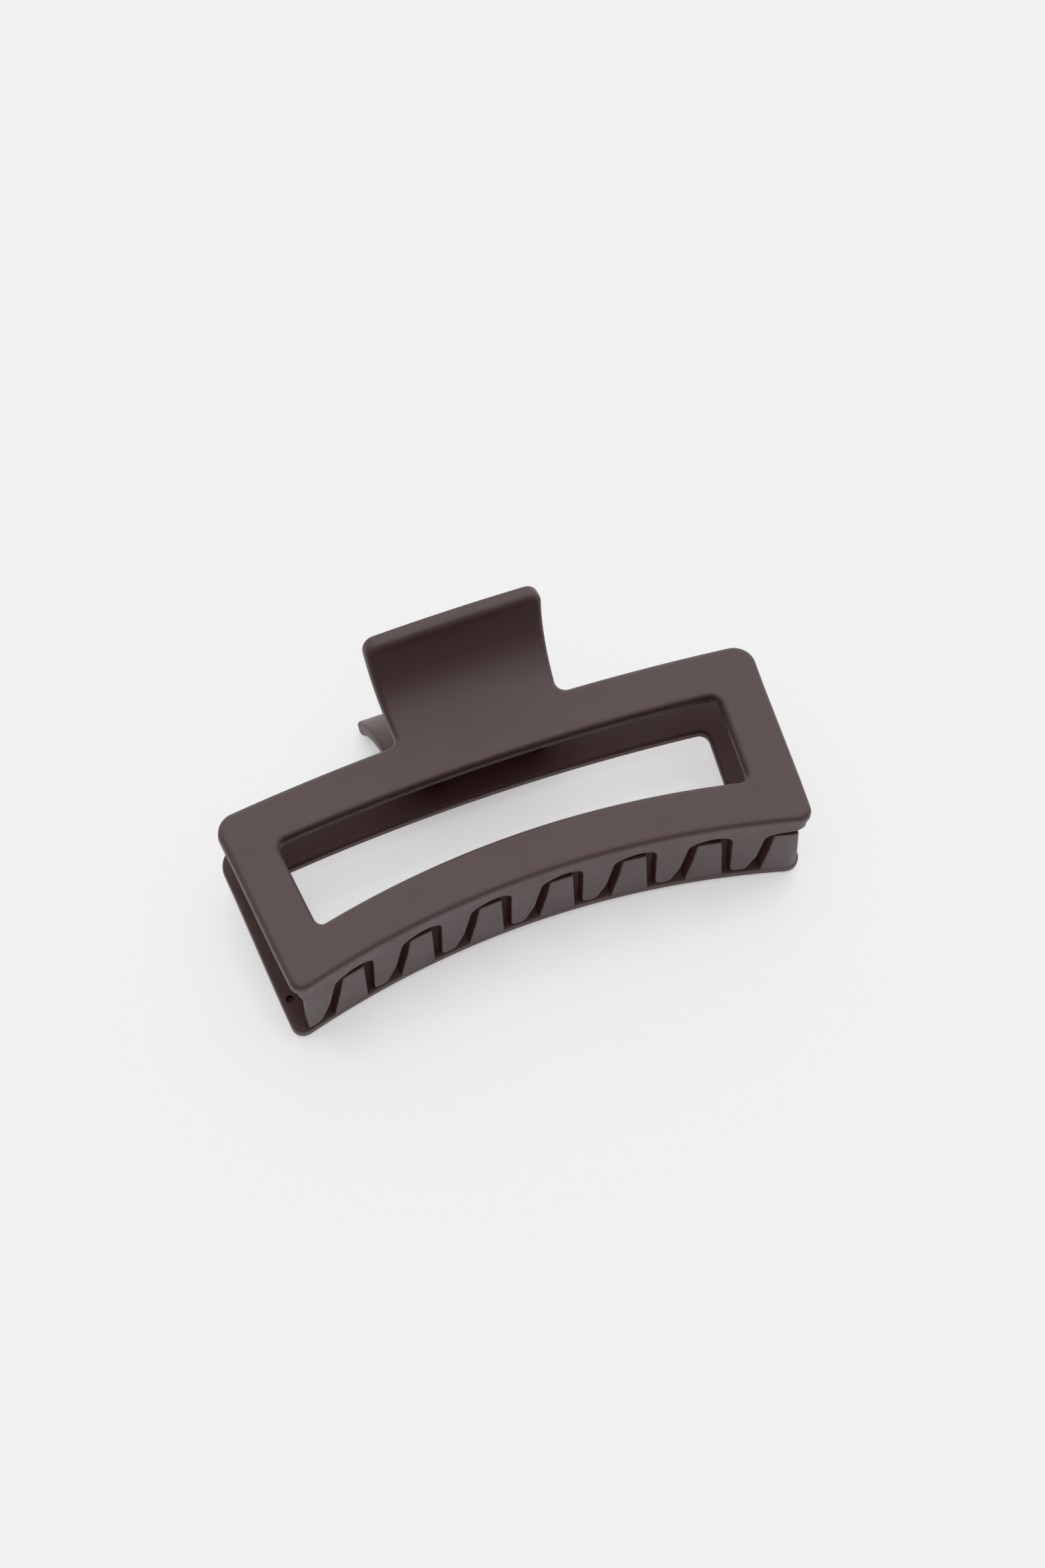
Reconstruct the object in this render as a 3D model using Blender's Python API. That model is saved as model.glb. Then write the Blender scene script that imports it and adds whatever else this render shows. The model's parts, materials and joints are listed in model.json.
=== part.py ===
"""Claw clip: two toothed jaws on one steel pin, held shut by a torsion spring.

Each jaw is designed in its own frame: X runs along the hinge pin, Y points to the finger tab and
Z points out of the clip, with the origin on the pin's axis. The closed clip lies on its lower jaw,
resting on that jaw's front corners and on the end of its finger tab.
"""
import math

import bmesh
import bpy
from mathutils import Matrix, Vector

MM = 0.001

# Plate of a jaw, seen square on; the distance q runs forward from the back edge.
PLATE_THICKNESS = 3.2
PLATE_DEPTH = 36.0
# Half lengths at the back and the front, widths of the back and end bars.
UPPER_PLATE = (55.3, 52.7, 9.8, 10.1)
LOWER_PLATE = (54.45, 52.2, 9.0, 9.65)
FRONT_BAR = 9.9
BACK_BOW = 0.0022        # curvature of the back bar, 1/mm
FRONT_BOW = 0.0055       # curvature of the front bar, 1/mm
BACK_CORNER = 3.8
FRONT_CORNER = 3.4
WINDOW_CORNER = 1.8
WINDOW_FLARE = 1.2       # the end bars narrow by this much towards the front
PLATE_TILT = math.radians(4.7)
PLATE_HEIGHT = 9.9       # outer face above the pin's axis at the back edge
EDGE_FILLET = 1.3
INNER_CHAMFER = 0.6

# Finger tab, which carries the plate on in an arc that bends outwards.
TAB_RADIUS = 15.0
TAB_END_ANGLE = math.radians(75.0)
TAB_ROOT_HALF_WIDTH = 16.4
TAB_END_HALF_WIDTH = 18.3
UPPER_TAB_MIDDLE = (0.3, 1.0)     # X of the tab's middle at its root and at its end
LOWER_TAB_MIDDLE = (-0.5, -0.5)
TAB_ROOT_FILLET = 2.0
TAB_CORNER = 2.5
TAB_SQUARE_LENGTH = 8.0  # the tab's thickness turns square to its faces over this length
TAB_LENGTH = TAB_RADIUS * (TAB_END_ANGLE + PLATE_TILT)

# Teeth, which stand along the front edge, square to the clip's middle plane.
TOOTH_COUNT = 7
TOOTH_PITCH = 14.65
TOOTH_THICKNESS = 2.6
TOOTH_FACE_INSET = 0.05
COMB_TOP = 11.3
CLAW_TIP = -9.4
ARCH_TOP = 8.0
PEG_TIP = -6.1
FIRST_CLAW = -48.4       # X of the leftmost claw's tip on the upper jaw
FIRST_PEG = -47.9        # X of the leftmost tooth's tip on the lower jaw, in its own frame

# Hinge: one pin through two lugs of each jaw, with the spring's coil between the lugs.
PIN_RADIUS = 1.2
PIN_HEAD_RADIUS = 1.9
PIN_HEAD_LENGTH = 0.8
FIT_GAP = 0.3
LUG_RADIUS = 3.2
LUG_ROOT = (-2.6, 5.0)   # front and back edge of a lug where it leaves the plate
LUG_WIDTH = 3.5
INNER_LUG_START = 7.3

# Torsion spring.
WIRE_RADIUS = 0.6
COIL_RADIUS = 2.6
COIL_HALF_LENGTH = 5.3
COIL_FULL_TURNS = 8
LEG_ANGLE = math.radians(26.0)
LEG_LENGTH = 12.9
RIB_HEIGHT = 1.2
RIB_WIDTH = 0.8
RIB_SPAN = (5.5, 11.0)

# Round blind marks that the ejector pins leave inside a jaw.
EJECTOR_RADIUS = 0.75
EJECTOR_DEPTH = 0.8
EJECTOR_FROM_END = 1.25
EJECTOR_FROM_BACK = 28.4

# Fineness of the mesh.
OUTLINE_STEP = 6.0
ARC_STEP = math.radians(22.5)
TAB_STEPS = 6
TOOTH_STEP = 5.0


def clear_scene():
    for obj in list(bpy.data.objects):
        bpy.data.objects.remove(obj, do_unlink=True)


def plastic(name, colour):
    return principled(name, colour, 0.55, 0.0)


def principled(name, colour, roughness, metallic):
    material = bpy.data.materials.new(name)
    material.use_nodes = True
    shader = material.node_tree.nodes["Principled BSDF"]
    shader.inputs["Base Color"].default_value = (*colour, 1.0)
    shader.inputs["Roughness"].default_value = roughness
    shader.inputs["Metallic"].default_value = metallic
    material.diffuse_color = (*colour, 1.0)
    return material


# ---- outlines in a plane -------------------------------------------------------------------

def rounded(corners):
    """Closed outline through corners (x, y, radius), each turned into an arc of its radius."""
    points = []
    for index, (x, y, radius) in enumerate(corners):
        corner = Vector((x, y))
        before = Vector(corners[index - 1][:2]) - corner
        after = Vector(corners[(index + 1) % len(corners)][:2]) - corner
        before.normalize()
        after.normalize()
        turn = math.pi - before.angle(after)
        if radius == 0.0 or turn < 1e-4:
            points.append(corner)
            continue
        start = corner + before * radius * math.tan(turn / 2)
        side = 1.0 if before.cross(after) < 0 else -1.0
        centre = start + Vector((before.y, -before.x)) * side * radius
        steps = max(2, math.ceil(turn / ARC_STEP))
        spoke = start - centre
        for step in range(steps + 1):
            angle = side * turn * step / steps
            points.append(centre + Matrix.Rotation(angle, 2) @ spoke)
    return points


def divided(points, step):
    """The same outline with a point at least every step along its long sides."""
    result = []
    for index, start in enumerate(points):
        end = points[(index + 1) % len(points)]
        count = max(1, math.ceil((end - start).length / step))
        result.extend(start.lerp(end, part / count) for part in range(count))
    return result


def inset(points, distance):
    """The outline moved sideways to its left by distance."""
    result = []
    for index, point in enumerate(points):
        ahead = (points[(index + 1) % len(points)] - point).normalized()
        behind = (point - points[index - 1]).normalized()
        along = (ahead + behind).normalized()
        reach = distance / max(0.5, along.dot(ahead))
        result.append(point + Vector((-along.y, along.x)) * reach)
    return result


def slab(outlines, levels, place, cuts=()):
    """Closed solid with the same outlines at every level, each level an (inset, depth) pair.

    The first outline runs anticlockwise round the solid and the others clockwise round its
    holes. place(x, y, depth) sets each vertex, and cuts are (axis, position) lines that divide
    the two faces so that they can follow a bend.
    """
    mesh = bmesh.new()
    rims = {0: [], len(levels) - 1: []}
    for outline in outlines:
        rings = []
        for distance, depth in levels:
            rings.append([mesh.verts.new((p.x, p.y, depth)) for p in inset(outline, distance)])
        for upper, lower in zip(rings, rings[1:]):
            for index in range(len(upper)):
                behind = index - 1
                mesh.faces.new((upper[behind], upper[index], lower[index], lower[behind]))
        for level in rims:
            ring = rings[level]
            rims[level] += [mesh.edges.get((ring[i - 1], ring[i])) for i in range(len(ring))]
    for edges in rims.values():
        bmesh.ops.triangle_fill(mesh, edges=edges, use_beauty=True)
    for axis, position in cuts:
        normal = Vector((1, 0, 0)) if axis == "x" else Vector((0, 1, 0))
        everything = mesh.verts[:] + mesh.edges[:] + mesh.faces[:]
        bmesh.ops.bisect_plane(mesh, geom=everything, dist=1e-4, plane_co=normal * position,
                               plane_no=normal)
    for vertex in mesh.verts:
        vertex.co = Vector(place(*vertex.co)) * MM
    bmesh.ops.triangulate(mesh, faces=mesh.faces)
    bmesh.ops.recalc_face_normals(mesh, faces=mesh.faces)
    return mesh


# ---- shape of a jaw ------------------------------------------------------------------------

def bowed(x, q):
    """Distance of a plate point from the plane of the pin, towards the tab, for q forward."""
    share = (q - FRONT_BAR) / (PLATE_DEPTH - 2 * FRONT_BAR)
    bow = BACK_BOW + (FRONT_BOW - BACK_BOW) * min(1.0, max(0.0, share))
    return -q - 0.5 * bow * x * x


def on_plate(x, v, depth):
    """Jaw position of a point depth below the outer face, v towards the tab along that face."""
    if v <= 0.0:
        y = v * math.cos(PLATE_TILT)
        return x, y, PLATE_HEIGHT - v * math.sin(PLATE_TILT) - depth
    slope = v / TAB_RADIUS - PLATE_TILT
    y = TAB_RADIUS * (math.sin(slope) + math.sin(PLATE_TILT))
    z = PLATE_HEIGHT + TAB_RADIUS * (math.cos(PLATE_TILT) - math.cos(slope))
    lean = slope + PLATE_TILT * max(0.0, 1.0 - v / TAB_SQUARE_LENGTH)
    return x, y + depth * math.sin(lean), z - depth * math.cos(lean)


def front_edge(x, half_front):
    """Y of the jaw's front face at x, which turns back round the plate's corners."""
    past = max(0.0, abs(x) - half_front + FRONT_CORNER)
    turned = FRONT_CORNER - math.sqrt(FRONT_CORNER ** 2 - past ** 2)
    return bowed(x, PLATE_DEPTH) * math.cos(PLATE_TILT) + turned


def bow_outline(points):
    return [Vector((p.x, bowed(p.x, -p.y))) for p in divided(points, OUTLINE_STEP)]


def plate_outline(half_back, half_front, tab_middle):
    root, end = tab_middle
    corners = [
        (half_front, -PLATE_DEPTH, FRONT_CORNER),
        (half_back, 0.0, BACK_CORNER),
        (root + TAB_ROOT_HALF_WIDTH, 0.0, TAB_ROOT_FILLET),
        (end + TAB_END_HALF_WIDTH, TAB_LENGTH, TAB_CORNER),
        (end - TAB_END_HALF_WIDTH, TAB_LENGTH, TAB_CORNER),
        (root - TAB_ROOT_HALF_WIDTH, 0.0, TAB_ROOT_FILLET),
        (-half_back, 0.0, BACK_CORNER),
        (-half_front, -PLATE_DEPTH, FRONT_CORNER),
    ]
    return bow_outline(rounded(corners))


def window_outline(half_back, half_front, back_bar, end_bar):
    back = half_back - end_bar
    front = half_front - end_bar + WINDOW_FLARE
    near = PLATE_DEPTH - FRONT_BAR
    corners = [
        (-back, -back_bar, WINDOW_CORNER),
        (back, -back_bar, WINDOW_CORNER),
        (front, -near, WINDOW_CORNER),
        (-front, -near, WINDOW_CORNER),
    ]
    return bow_outline(rounded(corners))


def frame_solid(half_back, half_front, back_bar, end_bar, tab_middle):
    """Open plate and finger tab in one piece."""
    levels = [
        (EDGE_FILLET, 0.0),
        (0.3 * EDGE_FILLET, 0.3 * EDGE_FILLET),
        (0.0, EDGE_FILLET),
        (0.0, PLATE_THICKNESS - INNER_CHAMFER),
        (INNER_CHAMFER, PLATE_THICKNESS),
    ]
    window = window_outline(half_back, half_front, back_bar, end_bar)
    outlines = [plate_outline(half_back, half_front, tab_middle), window]
    cuts = [("y", TAB_LENGTH * step / TAB_STEPS) for step in range(TAB_STEPS)]
    return slab(outlines, levels, on_plate, cuts)


def front_solid(outline, half_front):
    """Wall piece of this outline in X and Z, bent along the jaw's front edge."""
    def place(x, z, depth):
        return x, front_edge(x, half_front) + TOOTH_FACE_INSET + depth, z
    low = min(p.x for p in outline)
    high = max(p.x for p in outline)
    count = math.ceil((high - low) / TOOTH_STEP)
    cuts = [("x", low + (high - low) * step / count) for step in range(1, count)]
    return slab([outline], [(0.0, 0.0), (0.0, TOOTH_THICKNESS)], place, cuts)


def claw_comb(first_tip, half_front):
    """Wall of rounded claws joined by arches; first_tip is the leftmost tip's X."""
    corners = [(-half_front + 1.0, COMB_TOP, 0.0), (-half_front + 1.0, ARCH_TOP + 1.0, 0.0)]
    for index in range(TOOTH_COUNT):
        tip = first_tip + index * TOOTH_PITCH
        corners += [
            (tip - 1.9, ARCH_TOP if index else ARCH_TOP - 3.0, 3.0),
            (tip - 1.2, CLAW_TIP, 1.3),
            (tip + 1.7, CLAW_TIP, 1.6),
            (tip + 3.5, -3.5, 8.0),
            (tip + 4.6, ARCH_TOP - 1.7, 2.6),
        ]
        if index < TOOTH_COUNT - 1:
            corners.append((tip + 8.3, ARCH_TOP, 4.0))
    corners += [(half_front - 1.0, ARCH_TOP + 0.1, 0.0), (half_front - 1.0, COMB_TOP, 0.0)]
    return [front_solid(rounded(corners), half_front)]


def peg_teeth(first_tip, half_front):
    """Flat-ended teeth that stand on the plate by themselves; first_tip is the leftmost X."""
    teeth = []
    for index in range(TOOTH_COUNT):
        tip = first_tip + index * TOOTH_PITCH
        corners = [
            (tip - 3.7, COMB_TOP, 0.0),
            (tip - 2.4, PEG_TIP, 0.5),
            (tip + 2.2, PEG_TIP, 0.5),
            (tip + 2.7, 1.0, 12.0),
            (tip + 3.9, COMB_TOP, 0.0),
        ]
        teeth.append(front_solid(rounded(corners), half_front))
    return teeth


def across(start, width):
    """Placing rule for an outline in Y and Z that is stretched along X from start."""
    def place(y, z, depth):
        return start + depth * width, y, z
    return place


def lug_solid(start):
    """Round-nosed lug from the plate down to the pin, with the pin's hole."""
    root = PLATE_HEIGHT - PLATE_THICKNESS + 1.0
    nose = [p for p in circle(LUG_RADIUS, 24) if p.y < 0.5]
    nose.sort(key=lambda p: math.atan2(p.x, -p.y))
    outline = [*nose, Vector((LUG_ROOT[1], root)), Vector((LUG_ROOT[0], root))]
    hole = circle(PIN_RADIUS + FIT_GAP, 16)[::-1]
    return slab([outline, hole], [(0.0, 0.0), (0.0, 1.0)], across(start, LUG_WIDTH))


def circle(radius, count):
    turns = [2 * math.pi * index / count for index in range(count)]
    return [Vector((radius * math.cos(turn), radius * math.sin(turn))) for turn in turns]


def rib_solid(centre):
    """Low rib on the inner face of the tab's root, beside the end of the spring's leg."""
    spots = [RIB_SPAN[0] + (RIB_SPAN[1] - RIB_SPAN[0]) * step / 3 for step in range(4)]
    inner = [on_plate(0.0, v, PLATE_THICKNESS + RIB_HEIGHT)[1:] for v in spots]
    outer = [on_plate(0.0, v, PLATE_THICKNESS - 0.6)[1:] for v in spots]
    outline = [Vector(p) for p in inner + outer[::-1]]
    start = centre - 0.5 * RIB_WIDTH
    return slab([outline], [(0.0, 0.0), (0.0, 1.0)], across(start, RIB_WIDTH))


def ejector_mark(x):
    """Cutter for the blind round mark of an ejector pin."""
    def place(px, py, depth):
        v = bowed(x, EJECTOR_FROM_BACK)
        return on_plate(x + px, v + py, PLATE_THICKNESS - EJECTOR_DEPTH + depth)
    return slab([circle(EJECTOR_RADIUS, 16)], [(0.0, 0.0), (0.0, 2.0)], place)


def mesh_object(name, mesh, material=None):
    data = bpy.data.meshes.new(name)
    mesh.to_mesh(data)
    mesh.free()
    obj = bpy.data.objects.new(name, data)
    bpy.context.scene.collection.objects.link(obj)
    if material:
        data.materials.append(material)
    return obj


def apply_boolean(target, tool_mesh, operation):
    """Unite the target with the tool, or cut the tool out of it, and drop the tool."""
    tool = mesh_object("tool", tool_mesh)
    modifier = target.modifiers.new(operation, "BOOLEAN")
    modifier.operation = operation
    modifier.solver = "EXACT"
    modifier.object = tool
    depsgraph = bpy.context.evaluated_depsgraph_get()
    result = bpy.data.meshes.new_from_object(target.evaluated_get(depsgraph))
    target.modifiers.clear()
    old = target.data
    target.data = result
    bpy.data.meshes.remove(old)
    bpy.data.objects.remove(tool, do_unlink=True)


def jaw(name, sizes, tab_middle, teeth, material):
    """One jaw in its own frame: plate, tab, teeth, lugs and spring ribs in a single moulding."""
    obj = mesh_object(name, frame_solid(*sizes, tab_middle), material)
    half_front = sizes[1]
    leg_x = COIL_HALF_LENGTH
    pieces = list(teeth)
    pieces += [lug_solid(INNER_LUG_START), lug_solid(-INNER_LUG_START - FIT_GAP - 2 * LUG_WIDTH)]
    rib_reach = WIRE_RADIUS + FIT_GAP + 0.5 * RIB_WIDTH
    pieces += [rib_solid(-leg_x - rib_reach), rib_solid(-leg_x + rib_reach)]
    for piece in pieces:
        apply_boolean(obj, piece, "UNION")
    for side in (-1, 1):
        apply_boolean(obj, ejector_mark(side * (half_front - EJECTOR_FROM_END)), "DIFFERENCE")
    obj.data.name = name
    obj.data.shade_smooth()
    obj.data.set_sharp_from_angle(angle=math.radians(30.0))
    return obj


# ---- hinge ---------------------------------------------------------------------------------

def revolve(profile, count):
    """Closed turned solid about X through (x, radius) points, which start and end on the axis."""
    mesh = bmesh.new()
    rings = []
    for x, radius in profile:
        if radius == 0.0:
            rings.append([mesh.verts.new((x * MM, 0.0, 0.0))] * count)
            continue
        rings.append([mesh.verts.new(Vector((x, p.x, p.y)) * MM) for p in circle(radius, count)])
    for left, right in zip(rings, rings[1:]):
        for index in range(count):
            corners = (left[index - 1], left[index], right[index], right[index - 1])
            mesh.faces.new(tuple(dict.fromkeys(corners)))
    bmesh.ops.recalc_face_normals(mesh, faces=mesh.faces)
    return mesh


def pin_mesh():
    reach = INNER_LUG_START + 2 * LUG_WIDTH + 2 * FIT_GAP
    end = reach + PIN_HEAD_LENGTH
    right = [(reach, PIN_RADIUS), (reach, PIN_HEAD_RADIUS), (end - 0.3, PIN_HEAD_RADIUS)]
    right += [(end, PIN_HEAD_RADIUS - 0.5), (end, 0.0)]
    left = [(-x, radius) for x, radius in reversed(right)]
    return revolve(left + right, 20)


def spring_path():
    """Middle line of the spring's wire, from the upper leg's end through the coil."""
    start_angle = LEG_ANGLE + math.pi / 2
    total = 2 * math.pi * COIL_FULL_TURNS - 2 * start_angle
    count = math.ceil(total / ARC_STEP)
    path = []
    for index in range(count + 1):
        share = index / count
        angle = start_angle + total * share
        x = COIL_HALF_LENGTH * (2 * share - 1)
        path.append(Vector((x, COIL_RADIUS * math.cos(angle), COIL_RADIUS * math.sin(angle))))
    reach = Vector((0.0, math.cos(LEG_ANGLE), math.sin(LEG_ANGLE))) * LEG_LENGTH
    mirrored = Vector((reach.x, reach.y, -reach.z))
    return [path[0] + reach, *path, path[-1] + mirrored]


def tube(path, radius, sides):
    """Closed round bar along a path, with flat ends."""
    mesh = bmesh.new()
    rings = []
    normal = Vector((1.0, 0.0, 0.0))
    for index, point in enumerate(path):
        ahead = path[min(index + 1, len(path) - 1)] - point
        behind = point - path[max(index - 1, 0)]
        along = (ahead.normalized() + behind.normalized()).normalized()
        normal = (normal - along * normal.dot(along)).normalized()
        other = along.cross(normal)
        spots = circle(radius, sides)
        rings.append([mesh.verts.new((point + normal * p.x + other * p.y) * MM) for p in spots])
    for near, far in zip(rings, rings[1:]):
        for index in range(sides):
            mesh.faces.new((near[index - 1], near[index], far[index], far[index - 1]))
    mesh.faces.new(rings[0])
    mesh.faces.new(rings[-1])
    bmesh.ops.recalc_face_normals(mesh, faces=mesh.faces)
    return mesh


# ---- assembly ------------------------------------------------------------------------------

def resting_pitch(points):
    """Turn about X that lays the points (y, z) on a floor at both their front and their back."""
    low, high = 0.0, math.radians(20.0)
    for _ in range(40):
        pitch = 0.5 * (low + high)
        heights = [(y * math.sin(pitch) + z * math.cos(pitch), y) for y, z in points]
        if min(heights)[1] > 0.0:
            low = pitch
        else:
            high = pitch
    return pitch


def lay_down(root, jaws):
    """Rest the clip on its lower jaw, with its box centred over the origin."""
    flipped = [(v.co.y, -v.co.z) for v in jaws[1].data.vertices]
    root.rotation_euler.x = resting_pitch(flipped)
    bpy.context.view_layer.update()
    points = [obj.matrix_world @ v.co for obj in jaws for v in obj.data.vertices]
    middle = [0.5 * (min(p[k] for p in points) + max(p[k] for p in points)) for k in (0, 1)]
    root.location = (-middle[0], -middle[1], -min(p.z for p in points))


def build():
    clear_scene()
    root = bpy.data.objects.new("hinge_axis", None)
    bpy.context.scene.collection.objects.link(root)
    brown = plastic("soft_touch_plastic", (0.115, 0.085, 0.078))
    steel = principled("plated_steel", (0.62, 0.62, 0.60), 0.3, 1.0)
    wire = principled("spring_wire", (0.45, 0.45, 0.45), 0.35, 1.0)

    upper = jaw("upper_jaw", UPPER_PLATE, UPPER_TAB_MIDDLE, claw_comb(FIRST_CLAW, UPPER_PLATE[1]), brown)
    lower = jaw("lower_jaw", LOWER_PLATE, LOWER_TAB_MIDDLE, peg_teeth(FIRST_PEG, LOWER_PLATE[1]), brown)
    lower.rotation_euler.y = math.pi
    pin = mesh_object("hinge_pin", pin_mesh(), steel)
    spring = mesh_object("torsion_spring", tube(spring_path(), WIRE_RADIUS, 8), wire)
    for obj in (upper, lower, pin, spring):
        obj.parent = root
    for obj in (pin, spring):
        obj.data.shade_smooth()
        obj.data.set_sharp_from_angle(angle=math.radians(35.0))
    lay_down(root, (upper, lower))


build()
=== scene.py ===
"""Claw clip in soft-touch plastic, lying closed on a white table.

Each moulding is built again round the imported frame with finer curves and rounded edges. A jaw is
drawn in its own frame: X along the hinge pin, Y towards the finger tab, Z out of the clip, in
millimetres, with the origin on the pin's axis.
"""

import json
import math

import bmesh
import bpy
from mathutils import Matrix, Vector


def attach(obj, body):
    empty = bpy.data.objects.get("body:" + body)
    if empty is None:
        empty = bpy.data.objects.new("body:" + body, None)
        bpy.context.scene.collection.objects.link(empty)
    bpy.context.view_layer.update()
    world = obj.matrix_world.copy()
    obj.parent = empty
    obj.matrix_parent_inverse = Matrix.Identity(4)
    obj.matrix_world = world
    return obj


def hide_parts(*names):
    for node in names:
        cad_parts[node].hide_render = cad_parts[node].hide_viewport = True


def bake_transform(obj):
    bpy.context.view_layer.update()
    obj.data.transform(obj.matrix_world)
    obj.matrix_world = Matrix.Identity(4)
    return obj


MM = 0.001

# Plate of a jaw, seen square on; the distance q runs forward from the back edge.
PLATE_THICKNESS = 3.2
PLATE_DEPTH = 36.0
# Half lengths at the back and the front, widths of the back and end bars.
UPPER_PLATE = (55.3, 52.7, 9.8, 10.1)
LOWER_PLATE = (54.45, 52.2, 9.0, 9.65)
FRONT_BAR = 9.9
BACK_BOW = 0.0022        # curvature of the back bar, 1/mm
FRONT_BOW = 0.0055       # curvature of the front bar, 1/mm
BACK_CORNER = 3.8
FRONT_CORNER = 3.4
WINDOW_CORNER = 1.8
WINDOW_FLARE = 1.2       # the end bars narrow by this much towards the front
PLATE_HEIGHT = 9.9       # outer face above the pin's axis at the back edge
EDGE_FILLET = 1.3
INNER_FILLET = 0.7

# Finger tab, which carries the plate on in an arc that bends outwards.
TAB_RADIUS = 15.0
TAB_END_ANGLE = math.radians(75.0)
TAB_ROOT_HALF_WIDTH = 16.4
TAB_END_HALF_WIDTH = 18.3
UPPER_TAB_MIDDLE = (0.3, 1.0)     # X of the tab's middle at its root and at its end
LOWER_TAB_MIDDLE = (-0.5, -0.5)
TAB_ROOT_FILLET = 2.0
TAB_CORNER = 2.5
TAB_SQUARE_LENGTH = 8.0  # the tab's thickness turns square to its faces over this length

# Teeth, which stand along the front edge, square to the clip's middle plane.
TOOTH_COUNT = 7
TOOTH_PITCH = 14.65
TOOTH_THICKNESS = 2.6
TOOTH_FACE_INSET = 0.05
TOOTH_FILLET = 0.3
COMB_TOP = 11.3
CLAW_TIP = -9.4
ARCH_TOP = 8.0
FIRST_ARCH_DROP = 3.0    # the first claw's wall starts this much lower than an arch's top
PEG_TIP = -6.1
COMB_END_INSET = 1.0     # the wall of claws stops this far from the plate's ends
COMB_LEFT_RISE = 1.0
COMB_RIGHT_RISE = 0.1
FIRST_CLAW = -48.4       # X of the leftmost claw's tip on the upper jaw
FIRST_PEG = -47.9        # X of the leftmost tooth's tip on the lower jaw, in its own frame
# Corners of a tooth: X from its tip, height, and radius of the corner.
CLAW_START = (-1.9, ARCH_TOP, 3.0)
CLAW_BODY = (
    (-1.2, CLAW_TIP, 1.3),
    (1.7, CLAW_TIP, 1.6),
    (3.5, -3.5, 8.0),
    (4.6, ARCH_TOP - 1.7, 2.6),
)
CLAW_ARCH = (8.3, ARCH_TOP, 4.0)
PEG_BODY = (
    (-3.7, COMB_TOP, 0.0),
    (-2.4, PEG_TIP, 0.5),
    (2.2, PEG_TIP, 0.5),
    (2.7, 1.0, 12.0),
    (3.9, COMB_TOP, 0.0),
)

# Hinge: one pin through two lugs of each jaw, with the spring's coil between the lugs.
PIN_RADIUS = 1.2
PIN_HEAD_RADIUS = 1.9
PIN_HEAD_LENGTH = 0.8
PIN_RIM = 0.1            # small step round each head where it was pressed
PIN_DOME_START = 0.2     # the dome rises from this height of the head
PIN_DOME_POWER = 0.6     # below 1 the dome is fuller than an ellipse
FIT_GAP = 0.3
LUG_RADIUS = 3.2
LUG_ROOT = (-2.6, 5.0)   # front and back edge of a lug where it leaves the plate
LUG_WIDTH = 3.5
LUG_FILLET = 0.3
LUG_SUNK = 1.0           # how far a lug's root reaches into the plate
LUG_NOSE_TOP = 0.3       # the round nose ends this far above the pin's axis
INNER_LUG_START = 7.3

# Torsion spring.
WIRE_RADIUS = 0.6
COIL_RADIUS = 2.6
COIL_HALF_LENGTH = 5.3
COIL_FULL_TURNS = 8
WIRE_END_LENGTH = 0.1    # length and width of the wire's rounded ends, as shares of its radius
WIRE_END_WIDTH = 0.8
LEG_ANGLE = math.radians(26.0)
LEG_LENGTH = 12.9
RIB_HEIGHT = 1.2
RIB_WIDTH = 0.8
RIB_SPAN = (5.5, 11.0)
RIB_SUNK = 0.6           # how far a rib's root reaches into the tab
RIB_FILLET = 0.2

# Round blind marks that the ejector pins leave inside a jaw.
EJECTOR_RADIUS = 0.75
EJECTOR_DEPTH = 0.8
EJECTOR_FROM_END = 1.25
EJECTOR_FROM_BACK = 28.4
EJECTOR_CUTTER = 2.0     # length of the cutter, which ends outside the jaw

# Fineness of the meshes.
OUTLINE_STEP = 1.2
TOOTH_STEP = 0.8
TAB_STEP = 0.7
ARC_STEP = math.radians(9.0)
FILLET_STEPS = 6
DOME_STEPS = 9
LEG_STEPS = 10
RIB_STEPS = 8
NOSE_SIDES = 48
PIN_SIDES = 48
HOLE_SIDES = 32
WIRE_SIDES = 16

# Edges that bend by more than this are drawn sharp, in degrees.
JAW_SHARP = 20.0
PIN_SHARP = 40.0
SPRING_SHARP = 50.0

# Colours, given as the share of red, green and blue light that comes back.
COATING_COLOUR = (0.145, 0.112, 0.109)
COATING_LIGHTER = (0.148, 0.114, 0.111)
COATING_DARKER = (0.142, 0.110, 0.107)
PIN_COLOUR = (0.62, 0.62, 0.60)
WIRE_COLOUR = (0.45, 0.45, 0.45)
TABLE_COLOUR = (0.83, 0.83, 0.84)
TABLE_DARKER = (0.82, 0.82, 0.83)

# Surfaces: features of the patterns per metre, and height of the grain in metres.
COATING_IOR = 1.45
COATING_ROUGHNESS = 0.5
COATING_SPREAD = 0.03
SMEAR_RANGE = (0.35, 0.65)        # values of the pattern between which the roughness changes
CLOUD_SCALE = 60.0
SMEAR_SCALE = 150.0
GRAIN_SCALE = 5000.0
GRAIN_HEIGHT = 0.00002
GRAIN_STRENGTH = 0.35
PIN_ROUGHNESS = 0.3
WIRE_ROUGHNESS = 0.35
MARK_SCALE = 1500.0
MARK_HEIGHT = 0.00001
MARK_STRENGTH = 0.3
MARK_RANGE = (0.3, 0.7)
MARK_SMOOTHER = 0.08              # how far the marks lower and raise the metal's roughness
MARK_ROUGHER = 0.12
TURNED_MARKS = (0.2, 1.0, 1.0)    # stretch of the marks along X, Y and Z
DRAWN_MARKS = (1.0, 1.0, 1.0)
TABLE_ROUGHNESS = 0.6
TABLE_GRAIN_SCALE = 40.0
TABLE_HALF_SIZE = 3.0

# Camera, seen from the hinge: where it aims, and from where.
AIM = (4.87, -13.22, 0.0)
CAMERA_AZIMUTH = math.radians(-20.67)
CAMERA_ELEVATION = math.radians(60.0)
CAMERA_ROLL = math.radians(-0.48)
CAMERA_DISTANCE = 1.059
CAMERA_LENS = 126.0
CAMERA_CLIP = (0.01, 10.0)

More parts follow.
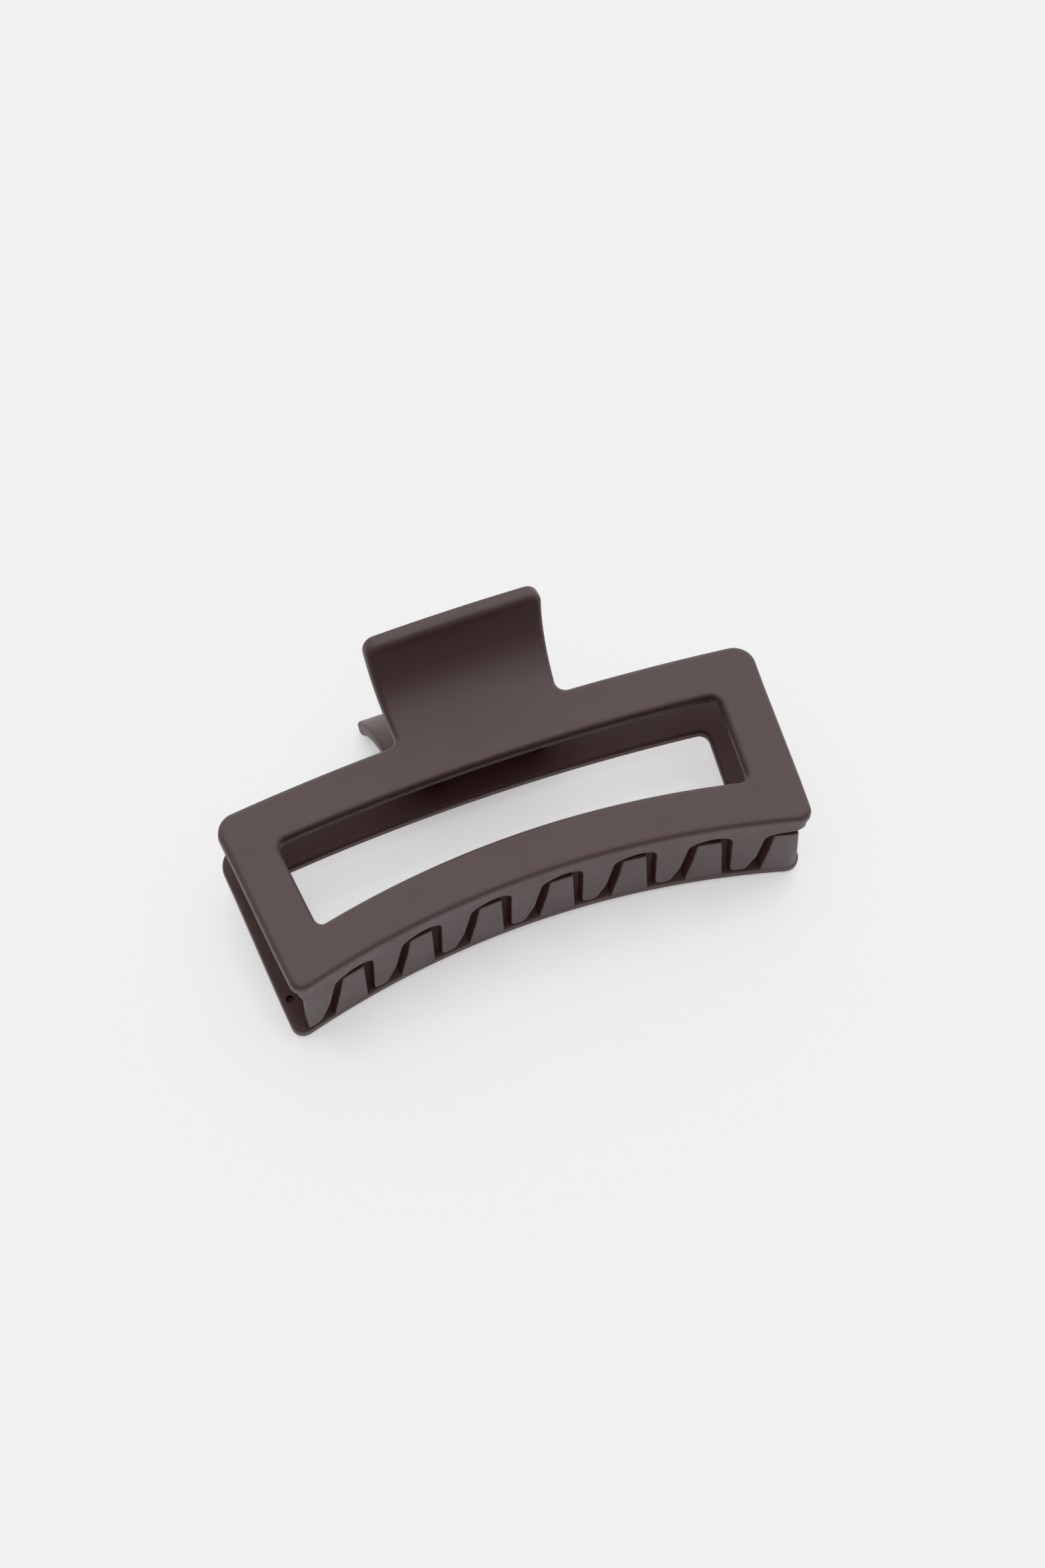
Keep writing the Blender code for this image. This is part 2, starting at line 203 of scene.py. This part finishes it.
# Studio light: radiance of the ceiling light and of the bright walls behind and to the right,
# each fading out over a range of the direction's height or of its reach towards those walls.
CEILING_LIGHT = 1.6
CEILING_FADE = (0.5, 1.0)
WALL_LIGHT = 1.0
WALL_FADE = (-0.15, 0.7)
WALL_DIRECTION = (0.5, 0.87, 0.0)
LIGHT_COLOUR = (0.993, 0.995, 1.0)
TABLE_GLOW = 0.38


# ---- frame ---------------------------------------------------------------------------------

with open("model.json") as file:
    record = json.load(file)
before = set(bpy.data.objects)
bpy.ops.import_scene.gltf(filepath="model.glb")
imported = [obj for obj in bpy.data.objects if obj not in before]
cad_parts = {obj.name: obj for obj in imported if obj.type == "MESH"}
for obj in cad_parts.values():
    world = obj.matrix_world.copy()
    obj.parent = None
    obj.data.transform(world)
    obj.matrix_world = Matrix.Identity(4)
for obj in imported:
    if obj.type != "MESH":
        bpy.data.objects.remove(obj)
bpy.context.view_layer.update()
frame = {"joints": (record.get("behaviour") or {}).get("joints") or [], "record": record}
mounts = {mount["name"]: mount for mount in frame["record"]["mounts"]}


def lean(name):
    """Angle between a plate's outer face and the table, forward edge away from the table."""
    _, y, z = mounts[name]["axis"]
    return math.atan2(y, abs(z))


PLATE_TILT = 0.5 * (lean("upper_outer_face") + lean("lower_outer_face"))
CLIP_PITCH = 0.5 * (lean("lower_outer_face") - lean("upper_outer_face"))
TAB_LENGTH = TAB_RADIUS * (TAB_END_ANGLE + PLATE_TILT)
HINGE = Vector(frame["joints"][0]["pos_m"])
UPPER_PLACE = Matrix.Translation(HINGE) @ Matrix.Rotation(CLIP_PITCH, 4, "X")
LOWER_PLACE = UPPER_PLACE @ Matrix.Rotation(math.pi, 4, "Y")


# ---- outlines in a plane -------------------------------------------------------------------

def rounded(corners):
    """Closed outline through corners (x, y, radius), each turned into an arc of its radius."""
    points = []
    for index, (x, y, radius) in enumerate(corners):
        corner = Vector((x, y))
        before = Vector(corners[index - 1][:2]) - corner
        after = Vector(corners[(index + 1) % len(corners)][:2]) - corner
        before.normalize()
        after.normalize()
        turn = math.pi - before.angle(after)
        if radius == 0.0 or turn < 1e-4:
            points.append(corner)
            continue
        start = corner + before * radius * math.tan(turn / 2)
        side = 1.0 if before.cross(after) < 0 else -1.0
        centre = start + Vector((before.y, -before.x)) * side * radius
        steps = max(2, math.ceil(turn / ARC_STEP))
        spoke = start - centre
        for step in range(steps + 1):
            angle = side * turn * step / steps
            points.append(centre + Matrix.Rotation(angle, 2) @ spoke)
    return points


def divided(points, step):
    """The same outline with a point at least every step along its long sides."""
    result = []
    for index, start in enumerate(points):
        end = points[(index + 1) % len(points)]
        count = max(1, math.ceil((end - start).length / step))
        result.extend(start.lerp(end, part / count) for part in range(count))
    return result


def circle(radius, count):
    turns = [2 * math.pi * index / count for index in range(count)]
    return [Vector((radius * math.cos(turn), radius * math.sin(turn))) for turn in turns]


def inset(points, distance):
    """The outline moved sideways to its left by distance."""
    result = []
    for index, point in enumerate(points):
        ahead = (points[(index + 1) % len(points)] - point).normalized()
        behind = (point - points[index - 1]).normalized()
        along = (ahead + behind).normalized()
        reach = distance / max(0.5, along.dot(ahead))
        result.append(point + Vector((-along.y, along.x)) * reach)
    return result


def rounded_edges(thickness, near, far):
    """Levels of a slab whose two edges are rounded with the radii near and far."""
    turns = [0.5 * math.pi * step / FILLET_STEPS for step in range(FILLET_STEPS + 1)]
    levels = [(near * (1 - math.sin(t)), near * (1 - math.cos(t))) for t in turns]
    return levels + [(far * (1 - math.cos(t)), thickness - far * (1 - math.sin(t)))
                     for t in turns]


def slab(outlines, levels, place, cuts=()):
    """Closed solid with the same outlines at every level, each level an (inset, depth) pair.

    The first outline runs anticlockwise round the solid and the others clockwise round its
    holes. place(x, y, depth) sets each vertex, and cuts are (axis, position) lines that divide
    the two faces so that they can follow a bend.
    """
    mesh = bmesh.new()
    rims = {0: [], len(levels) - 1: []}
    for outline in outlines:
        rings = []
        for distance, depth in levels:
            rings.append([mesh.verts.new((p.x, p.y, depth)) for p in inset(outline, distance)])
        for upper, lower in zip(rings, rings[1:]):
            for index in range(len(upper)):
                behind = index - 1
                mesh.faces.new((upper[behind], upper[index], lower[index], lower[behind]))
        for level in rims:
            ring = rings[level]
            rims[level] += [mesh.edges.get((ring[i - 1], ring[i])) for i in range(len(ring))]
    for edges in rims.values():
        bmesh.ops.triangle_fill(mesh, edges=edges, use_beauty=True)
    for axis, position in cuts:
        normal = Vector((1, 0, 0)) if axis == "x" else Vector((0, 1, 0))
        everything = mesh.verts[:] + mesh.edges[:] + mesh.faces[:]
        bmesh.ops.bisect_plane(mesh, geom=everything, dist=1e-4, plane_co=normal * position,
                               plane_no=normal)
    for vertex in mesh.verts:
        vertex.co = Vector(place(*vertex.co)) * MM
    bmesh.ops.triangulate(mesh, faces=mesh.faces)
    bmesh.ops.recalc_face_normals(mesh, faces=mesh.faces)
    return mesh


def cut_lines(axis, low, high, step):
    count = math.ceil((high - low) / step)
    return [(axis, low + (high - low) * index / count) for index in range(1, count)]


# ---- shape of a jaw ------------------------------------------------------------------------

def bowed(x, q):
    """Distance of a plate point from the plane of the pin, towards the tab, for q forward."""
    share = (q - FRONT_BAR) / (PLATE_DEPTH - 2 * FRONT_BAR)
    bow = BACK_BOW + (FRONT_BOW - BACK_BOW) * min(1.0, max(0.0, share))
    return -q - 0.5 * bow * x * x


def on_plate(x, v, depth):
    """Jaw position of a point depth below the outer face, v towards the tab along that face."""
    if v <= 0.0:
        y = v * math.cos(PLATE_TILT)
        return x, y, PLATE_HEIGHT - v * math.sin(PLATE_TILT) - depth
    slope = v / TAB_RADIUS - PLATE_TILT
    y = TAB_RADIUS * (math.sin(slope) + math.sin(PLATE_TILT))
    z = PLATE_HEIGHT + TAB_RADIUS * (math.cos(PLATE_TILT) - math.cos(slope))
    turned = slope + PLATE_TILT * max(0.0, 1.0 - v / TAB_SQUARE_LENGTH)
    return x, y + depth * math.sin(turned), z - depth * math.cos(turned)


def front_edge(x, half_front):
    """Y of the jaw's front face at x, which turns back round the plate's corners."""
    past = max(0.0, abs(x) - half_front + FRONT_CORNER)
    turned = FRONT_CORNER - math.sqrt(FRONT_CORNER ** 2 - past ** 2)
    return bowed(x, PLATE_DEPTH) * math.cos(PLATE_TILT) + turned


def bow_outline(points):
    return [Vector((p.x, bowed(p.x, -p.y))) for p in divided(points, OUTLINE_STEP)]


def plate_outline(half_back, half_front, tab_middle):
    root, end = tab_middle
    corners = [
        (half_front, -PLATE_DEPTH, FRONT_CORNER),
        (half_back, 0.0, BACK_CORNER),
        (root + TAB_ROOT_HALF_WIDTH, 0.0, TAB_ROOT_FILLET),
        (end + TAB_END_HALF_WIDTH, TAB_LENGTH, TAB_CORNER),
        (end - TAB_END_HALF_WIDTH, TAB_LENGTH, TAB_CORNER),
        (root - TAB_ROOT_HALF_WIDTH, 0.0, TAB_ROOT_FILLET),
        (-half_back, 0.0, BACK_CORNER),
        (-half_front, -PLATE_DEPTH, FRONT_CORNER),
    ]
    return bow_outline(rounded(corners))


def window_outline(half_back, half_front, back_bar, end_bar):
    back = half_back - end_bar
    front = half_front - end_bar + WINDOW_FLARE
    near = PLATE_DEPTH - FRONT_BAR
    corners = [
        (-back, -back_bar, WINDOW_CORNER),
        (back, -back_bar, WINDOW_CORNER),
        (front, -near, WINDOW_CORNER),
        (-front, -near, WINDOW_CORNER),
    ]
    return bow_outline(rounded(corners))


def frame_solid(half_back, half_front, back_bar, end_bar, tab_middle):
    """Open plate and finger tab in one piece, with rounded rims."""
    levels = rounded_edges(PLATE_THICKNESS, EDGE_FILLET, INNER_FILLET)
    window = window_outline(half_back, half_front, back_bar, end_bar)
    outlines = [plate_outline(half_back, half_front, tab_middle), window]
    cuts = [("y", 0.0), *cut_lines("y", 0.0, TAB_LENGTH, TAB_STEP)]
    return slab(outlines, levels, on_plate, cuts)


def front_solid(outline, half_front):
    """Wall piece of this outline in X and Z, bent along the jaw's front edge."""
    def place(x, z, depth):
        return x, front_edge(x, half_front) + TOOTH_FACE_INSET + depth, z
    points = divided(outline, TOOTH_STEP)
    levels = rounded_edges(TOOTH_THICKNESS, TOOTH_FILLET, TOOTH_FILLET)
    low = min(p.x for p in points)
    high = max(p.x for p in points)
    return slab([points], levels, place, cut_lines("x", low, high, TOOTH_STEP))


def claw_comb(first_tip, half_front):
    """Wall of rounded claws joined by arches; first_tip is the leftmost tip's X."""
    end = half_front - COMB_END_INSET
    corners = [(-end, COMB_TOP, 0.0), (-end, ARCH_TOP + COMB_LEFT_RISE, 0.0)]
    for index in range(TOOTH_COUNT):
        tip = first_tip + index * TOOTH_PITCH
        x, z, radius = CLAW_START
        corners.append((tip + x, z if index else z - FIRST_ARCH_DROP, radius))
        corners += [(tip + x, z, radius) for x, z, radius in CLAW_BODY]
        if index < TOOTH_COUNT - 1:
            x, z, radius = CLAW_ARCH
            corners.append((tip + x, z, radius))
    corners += [(end, ARCH_TOP + COMB_RIGHT_RISE, 0.0), (end, COMB_TOP, 0.0)]
    return [front_solid(rounded(corners), half_front)]


def peg_teeth(first_tip, half_front):
    """Flat-ended teeth that stand on the plate by themselves; first_tip is the leftmost X."""
    teeth = []
    for index in range(TOOTH_COUNT):
        tip = first_tip + index * TOOTH_PITCH
        corners = [(tip + x, z, radius) for x, z, radius in PEG_BODY]
        teeth.append(front_solid(rounded(corners), half_front))
    return teeth


def across(start):
    """Placing rule for an outline in Y and Z that is stretched along X from start."""
    def place(y, z, depth):
        return start + depth, y, z
    return place


def lug_solid(start):
    """Round-nosed lug from the plate down to the pin, with the pin's hole."""
    root = PLATE_HEIGHT - PLATE_THICKNESS + LUG_SUNK
    nose = [p for p in circle(LUG_RADIUS, NOSE_SIDES) if p.y < LUG_NOSE_TOP]
    nose.sort(key=lambda p: math.atan2(p.x, -p.y))
    outline = [*nose, Vector((LUG_ROOT[1], root)), Vector((LUG_ROOT[0], root))]
    hole = circle(PIN_RADIUS + FIT_GAP, HOLE_SIDES)[::-1]
    levels = rounded_edges(LUG_WIDTH, LUG_FILLET, LUG_FILLET)
    return slab([outline, hole], levels, across(start))


def rib_solid(centre):
    """Low rib on the inner face of the tab's root, beside the end of the spring's leg."""
    start, end = RIB_SPAN
    spots = [start + (end - start) * step / RIB_STEPS for step in range(RIB_STEPS + 1)]
    inner = [on_plate(0.0, v, PLATE_THICKNESS + RIB_HEIGHT)[1:] for v in spots]
    outer = [on_plate(0.0, v, PLATE_THICKNESS - RIB_SUNK)[1:] for v in spots]
    outline = [Vector(p) for p in inner + outer[::-1]]
    levels = rounded_edges(RIB_WIDTH, RIB_FILLET, RIB_FILLET)
    return slab([outline], levels, across(centre - 0.5 * RIB_WIDTH))


def ejector_mark(x):
    """Cutter for the blind round mark of an ejector pin."""
    def place(px, py, depth):
        v = bowed(x, EJECTOR_FROM_BACK)
        return on_plate(x + px, v + py, PLATE_THICKNESS - EJECTOR_DEPTH + depth)
    levels = [(0.0, 0.0), (0.0, EJECTOR_CUTTER)]
    return slab([circle(EJECTOR_RADIUS, HOLE_SIDES)], levels, place)


# ---- meshes to objects ---------------------------------------------------------------------

def mesh_object(name, mesh):
    data = bpy.data.meshes.new(name)
    mesh.to_mesh(data)
    mesh.free()
    obj = bpy.data.objects.new(name, data)
    bpy.context.scene.collection.objects.link(obj)
    return obj


def apply_boolean(target, pieces, operation):
    """Unite the target with the pieces, or cut them out of it; they don't meet each other."""
    together = bmesh.new()
    for piece in pieces:
        part = bpy.data.meshes.new("part")
        piece.to_mesh(part)
        piece.free()
        together.from_mesh(part)
        bpy.data.meshes.remove(part)
    tool = mesh_object("tool", together)
    modifier = target.modifiers.new(operation, "BOOLEAN")
    modifier.operation = operation
    modifier.solver = "EXACT"
    modifier.object = tool
    depsgraph = bpy.context.evaluated_depsgraph_get()
    result = bpy.data.meshes.new_from_object(target.evaluated_get(depsgraph))
    target.modifiers.clear()
    old = target.data
    target.data = result
    bpy.data.meshes.remove(old)
    bpy.data.objects.remove(tool, do_unlink=True)


def shade(obj, sharp_degrees):
    """Smooth shading that keeps flat faces flat beside their rounded edges."""
    obj.data.shade_smooth()
    obj.data.set_sharp_from_angle(angle=math.radians(sharp_degrees))
    weighted = obj.modifiers.new("flat faces stay flat", "WEIGHTED_NORMAL")
    weighted.keep_sharp = True


def jaw(name, sizes, tab_middle, teeth, place, node, material):
    """One moulding: plate, tab, teeth, lugs and the ribs that hold the spring's leg."""
    obj = mesh_object(name, frame_solid(*sizes, tab_middle))
    rib_reach = WIRE_RADIUS + FIT_GAP + 0.5 * RIB_WIDTH
    pieces = list(teeth)
    pieces += [lug_solid(INNER_LUG_START), lug_solid(-INNER_LUG_START - FIT_GAP - 2 * LUG_WIDTH)]
    pieces += [rib_solid(-COIL_HALF_LENGTH + side * rib_reach) for side in (-1, 1)]
    apply_boolean(obj, pieces, "UNION")
    mark_reach = sizes[1] - EJECTOR_FROM_END
    apply_boolean(obj, [ejector_mark(side * mark_reach) for side in (-1, 1)], "DIFFERENCE")
    obj.data.transform(place)
    shade(obj, JAW_SHARP)
    obj.data.materials.clear()
    obj.data.materials.append(material)
    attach(obj, node)
    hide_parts(node)


# ---- hinge ---------------------------------------------------------------------------------

def revolve(profile, count):
    """Closed turned solid about X through (x, radius) points, which start and end on the axis."""
    mesh = bmesh.new()
    rings = []
    for x, radius in profile:
        if radius == 0.0:
            rings.append([mesh.verts.new((x * MM, 0.0, 0.0))] * count)
            continue
        rings.append([mesh.verts.new(Vector((x, p.x, p.y)) * MM) for p in circle(radius, count)])
    for left, right in zip(rings, rings[1:]):
        for index in range(count):
            corners = (left[index - 1], left[index], right[index], right[index - 1])
            mesh.faces.new(tuple(dict.fromkeys(corners)))
    bmesh.ops.recalc_face_normals(mesh, faces=mesh.faces)
    return mesh


def pin_mesh():
    """Pin with two domed heads, each with a small rim where it was pressed."""
    reach = INNER_LUG_START + 2 * LUG_WIDTH + 2 * FIT_GAP
    right = [(reach, PIN_RADIUS), (reach, PIN_HEAD_RADIUS - PIN_RIM)]
    right.append((reach + PIN_RIM, PIN_HEAD_RADIUS))
    for step in range(DOME_STEPS):
        turn = 0.5 * math.pi * step / DOME_STEPS
        dome = PIN_DOME_START + (PIN_HEAD_LENGTH - PIN_DOME_START) * math.sin(turn)
        right.append((reach + dome, PIN_HEAD_RADIUS * math.cos(turn) ** PIN_DOME_POWER))
    right.append((reach + PIN_HEAD_LENGTH, 0.0))
    left = [(-x, radius) for x, radius in reversed(right)]
    return revolve(left + right, PIN_SIDES)


def spring_path():
    """Middle line of the spring's wire, from the upper leg's end through the coil."""
    start_angle = LEG_ANGLE + math.pi / 2
    total = 2 * math.pi * COIL_FULL_TURNS - 2 * start_angle
    count = math.ceil(total / ARC_STEP)
    path = []
    for index in range(count + 1):
        share = index / count
        angle = start_angle + total * share
        x = COIL_HALF_LENGTH * (2 * share - 1)
        path.append(Vector((x, COIL_RADIUS * math.cos(angle), COIL_RADIUS * math.sin(angle))))
    reach = Vector((0.0, math.cos(LEG_ANGLE), math.sin(LEG_ANGLE))) * LEG_LENGTH
    mirrored = Vector((reach.x, reach.y, -reach.z))
    shares = [1.0 - step / LEG_STEPS for step in range(LEG_STEPS)]
    start_leg = [path[0] + reach * share for share in shares]
    end_leg = [path[-1] + mirrored * share for share in reversed(shares)]
    return [*start_leg, *path, *end_leg]


def tube(path, radius, sides):
    """Closed round bar along a path, with slightly rounded ends."""
    mesh = bmesh.new()
    rings = []
    normal = Vector((1.0, 0.0, 0.0))
    first_step = (path[0] - path[1]).normalized() * WIRE_END_LENGTH * radius
    last_step = (path[-1] - path[-2]).normalized() * WIRE_END_LENGTH * radius
    stations = [(path[0], WIRE_END_WIDTH), (path[0] - first_step, 1.0)]
    stations += [(point, 1.0) for point in path[1:-1]]
    stations += [(path[-1] - last_step, 1.0), (path[-1], WIRE_END_WIDTH)]
    last = len(stations) - 1
    for index, (point, share) in enumerate(stations):
        ahead = stations[min(index + 1, last)][0] - point
        behind = point - stations[max(index - 1, 0)][0]
        along = (ahead.normalized() + behind.normalized()).normalized()
        normal = (normal - along * normal.dot(along)).normalized()
        other = along.cross(normal)
        spots = circle(radius * share, sides)
        rings.append([mesh.verts.new((point + normal * p.x + other * p.y) * MM) for p in spots])
    for near, far in zip(rings, rings[1:]):
        for index in range(sides):
            mesh.faces.new((near[index - 1], near[index], far[index], far[index - 1]))
    mesh.faces.new(rings[0])
    mesh.faces.new(rings[-1])
    bmesh.ops.recalc_face_normals(mesh, faces=mesh.faces)
    return mesh


# ---- materials -----------------------------------------------------------------------------

def new_material(name, colour, roughness, metallic=0.0):
    """(material, node tree, Principled shader) with its constant values set."""
    material = bpy.data.materials.new(name)
    material.use_nodes = True
    tree = material.node_tree
    shader = tree.nodes["Principled BSDF"]
    shader.inputs["Base Color"].default_value = (*colour, 1.0)
    shader.inputs["Roughness"].default_value = roughness
    shader.inputs["Metallic"].default_value = metallic
    return material, tree, shader


def noise(tree, scale, detail=2.0, stretch=(1.0, 1.0, 1.0)):
    """Noise in the piece's own coordinates; scale is in features per metre."""
    coordinates = tree.nodes.new("ShaderNodeTexCoord")
    mapping = tree.nodes.new("ShaderNodeMapping")
    mapping.inputs["Scale"].default_value = stretch
    texture = tree.nodes.new("ShaderNodeTexNoise")
    texture.inputs["Scale"].default_value = scale
    texture.inputs["Detail"].default_value = detail
    tree.links.new(coordinates.outputs["Object"], mapping.inputs["Vector"])
    tree.links.new(mapping.outputs["Vector"], texture.inputs["Vector"])
    return texture.outputs["Fac"]


def ramp(tree, value, low, high, span):
    """Value mapped from the range span, a (start, end) pair, onto the numbers low..high."""
    node = tree.nodes.new("ShaderNodeMapRange")
    node.inputs["From Min"].default_value = span[0]
    node.inputs["From Max"].default_value = span[1]
    node.inputs["To Min"].default_value = low
    node.inputs["To Max"].default_value = high
    tree.links.new(value, node.inputs["Value"])
    return node.outputs["Result"]


def colour_mix(tree, factor, first, second):
    node = tree.nodes.new("ShaderNodeMix")
    node.data_type = "RGBA"
    node.inputs["A"].default_value = (*first, 1.0)
    node.inputs["B"].default_value = (*second, 1.0)
    tree.links.new(factor, node.inputs["Factor"])
    return node.outputs["Result"]


def bump(tree, height, distance, strength):
    node = tree.nodes.new("ShaderNodeBump")
    node.inputs["Distance"].default_value = distance
    node.inputs["Strength"].default_value = strength
    tree.links.new(height, node.inputs["Height"])
    return node.outputs["Normal"]


def soft_touch_plastic():
    """Dark taupe coating: matt, very fine grain, hardly any change of colour."""
    material, tree, shader = new_material("soft_touch_plastic", COATING_COLOUR, COATING_ROUGHNESS)
    shader.inputs["IOR"].default_value = COATING_IOR
    cloud = noise(tree, CLOUD_SCALE, detail=3.0)
    tint = colour_mix(tree, cloud, COATING_LIGHTER, COATING_DARKER)
    tree.links.new(tint, shader.inputs["Base Color"])
    smear = noise(tree, SMEAR_SCALE, detail=4.0)
    smoother = COATING_ROUGHNESS - COATING_SPREAD
    rougher = COATING_ROUGHNESS + COATING_SPREAD
    tree.links.new(ramp(tree, smear, smoother, rougher, SMEAR_RANGE), shader.inputs["Roughness"])
    grain = noise(tree, GRAIN_SCALE)
    tree.links.new(bump(tree, grain, GRAIN_HEIGHT, GRAIN_STRENGTH), shader.inputs["Normal"])
    return material


def steel(name, colour, roughness, drawn):
    """Plated steel with fine marks along the way it was drawn or turned."""
    material, tree, shader = new_material(name, colour, roughness, 1.0)
    marks = noise(tree, MARK_SCALE, detail=3.0, stretch=drawn)
    worn = ramp(tree, marks, roughness - MARK_SMOOTHER, roughness + MARK_ROUGHER, MARK_RANGE)
    tree.links.new(worn, shader.inputs["Roughness"])
    tree.links.new(bump(tree, marks, MARK_HEIGHT, MARK_STRENGTH), shader.inputs["Normal"])
    return material


def table_top():
    """White table, whose faint glow stands in for light thrown about by a white studio."""
    material, tree, shader = new_material("white_table", TABLE_COLOUR, TABLE_ROUGHNESS)
    shader.inputs["Emission Color"].default_value = (1.0, 1.0, 1.0, 1.0)
    shader.inputs["Emission Strength"].default_value = TABLE_GLOW
    grain = noise(tree, TABLE_GRAIN_SCALE)
    tint = colour_mix(tree, grain, TABLE_COLOUR, TABLE_DARKER)
    tree.links.new(tint, shader.inputs["Base Color"])
    return material


# ---- pieces --------------------------------------------------------------------------------

def make_pin():
    obj = mesh_object("pin", pin_mesh())
    obj.data.materials.append(steel("plated_steel", PIN_COLOUR, PIN_ROUGHNESS, TURNED_MARKS))
    obj.data.transform(UPPER_PLACE)
    shade(obj, PIN_SHARP)
    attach(obj, "lower_jaw")
    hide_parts("hinge_pin")


def make_spring():
    """Coil of wire with two legs, set once where the closed clip holds it; it rides on neither
    jaw.
    """
    obj = mesh_object("spring", tube(spring_path(), WIRE_RADIUS, WIRE_SIDES))
    obj.data.materials.append(steel("spring_wire", WIRE_COLOUR, WIRE_ROUGHNESS, DRAWN_MARKS))
    obj.data.transform(UPPER_PLACE)
    shade(obj, SPRING_SHARP)
    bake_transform(obj)
    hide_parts("torsion_spring")


def make_jaws():
    coating = soft_touch_plastic()
    claws = claw_comb(FIRST_CLAW, UPPER_PLATE[1])
    pegs = peg_teeth(FIRST_PEG, LOWER_PLATE[1])
    jaw("upper_moulding", UPPER_PLATE, UPPER_TAB_MIDDLE, claws, UPPER_PLACE, "upper_jaw", coating)
    jaw("lower_moulding", LOWER_PLATE, LOWER_TAB_MIDDLE, pegs, LOWER_PLACE, "lower_jaw", coating)


# ---- table, light and camera ---------------------------------------------------------------

def make_table():
    mesh = bmesh.new()
    bmesh.ops.create_grid(mesh, x_segments=2, y_segments=2, size=TABLE_HALF_SIZE)
    obj = mesh_object("table", mesh)
    obj.data.materials.append(table_top())


def fade_in(tree, value, fade, full):
    """Brightness that rises softly from 0 to full as the value crosses the range fade."""
    node = tree.nodes.new("ShaderNodeMapRange")
    node.interpolation_type = "SMOOTHSTEP"
    node.inputs["From Min"].default_value = fade[0]
    node.inputs["From Max"].default_value = fade[1]
    node.inputs["To Max"].default_value = full
    tree.links.new(value, node.inputs["Value"])
    return node.outputs["Result"]


def make_light():
    """Photo studio: a broad soft ceiling light and bright walls, dark where the viewer stands."""
    world = bpy.data.worlds.new("studio")
    bpy.context.scene.world = world
    world.use_nodes = True
    tree = world.node_tree
    direction = tree.nodes.new("ShaderNodeTexCoord").outputs["Generated"]
    split = tree.nodes.new("ShaderNodeSeparateXYZ")
    tree.links.new(direction, split.inputs["Vector"])
    reach = tree.nodes.new("ShaderNodeVectorMath")
    reach.operation = "DOT_PRODUCT"
    reach.inputs[1].default_value = WALL_DIRECTION
    tree.links.new(direction, reach.inputs[0])
    brighter = tree.nodes.new("ShaderNodeMath")
    brighter.operation = "MAXIMUM"
    ceiling = fade_in(tree, split.outputs["Z"], CEILING_FADE, CEILING_LIGHT)
    walls = fade_in(tree, reach.outputs["Value"], WALL_FADE, WALL_LIGHT)
    tree.links.new(ceiling, brighter.inputs[0])
    tree.links.new(walls, brighter.inputs[1])
    background = tree.nodes["Background"]
    background.inputs["Color"].default_value = (*LIGHT_COLOUR, 1.0)
    tree.links.new(brighter.outputs["Value"], background.inputs["Strength"])


def make_camera():
    data = bpy.data.cameras.new("camera")
    data.lens = CAMERA_LENS
    data.clip_start, data.clip_end = CAMERA_CLIP
    camera = bpy.data.objects.new("camera", data)
    bpy.context.scene.collection.objects.link(camera)
    bpy.context.scene.camera = camera
    flat = math.cos(CAMERA_ELEVATION)
    back = Vector((math.sin(CAMERA_AZIMUTH) * flat, -math.cos(CAMERA_AZIMUTH) * flat,
                   math.sin(CAMERA_ELEVATION)))
    aim = HINGE + Vector(AIM) * MM
    look = (-back).to_track_quat("-Z", "Y").to_matrix().to_4x4()
    place = Matrix.Translation(aim + back * CAMERA_DISTANCE)
    camera.matrix_world = place @ look @ Matrix.Rotation(CAMERA_ROLL, 4, "Z")


make_jaws()
make_pin()
make_spring()
make_table()
make_light()
make_camera()
bpy.context.scene.view_settings.view_transform = "Khronos PBR Neutral"
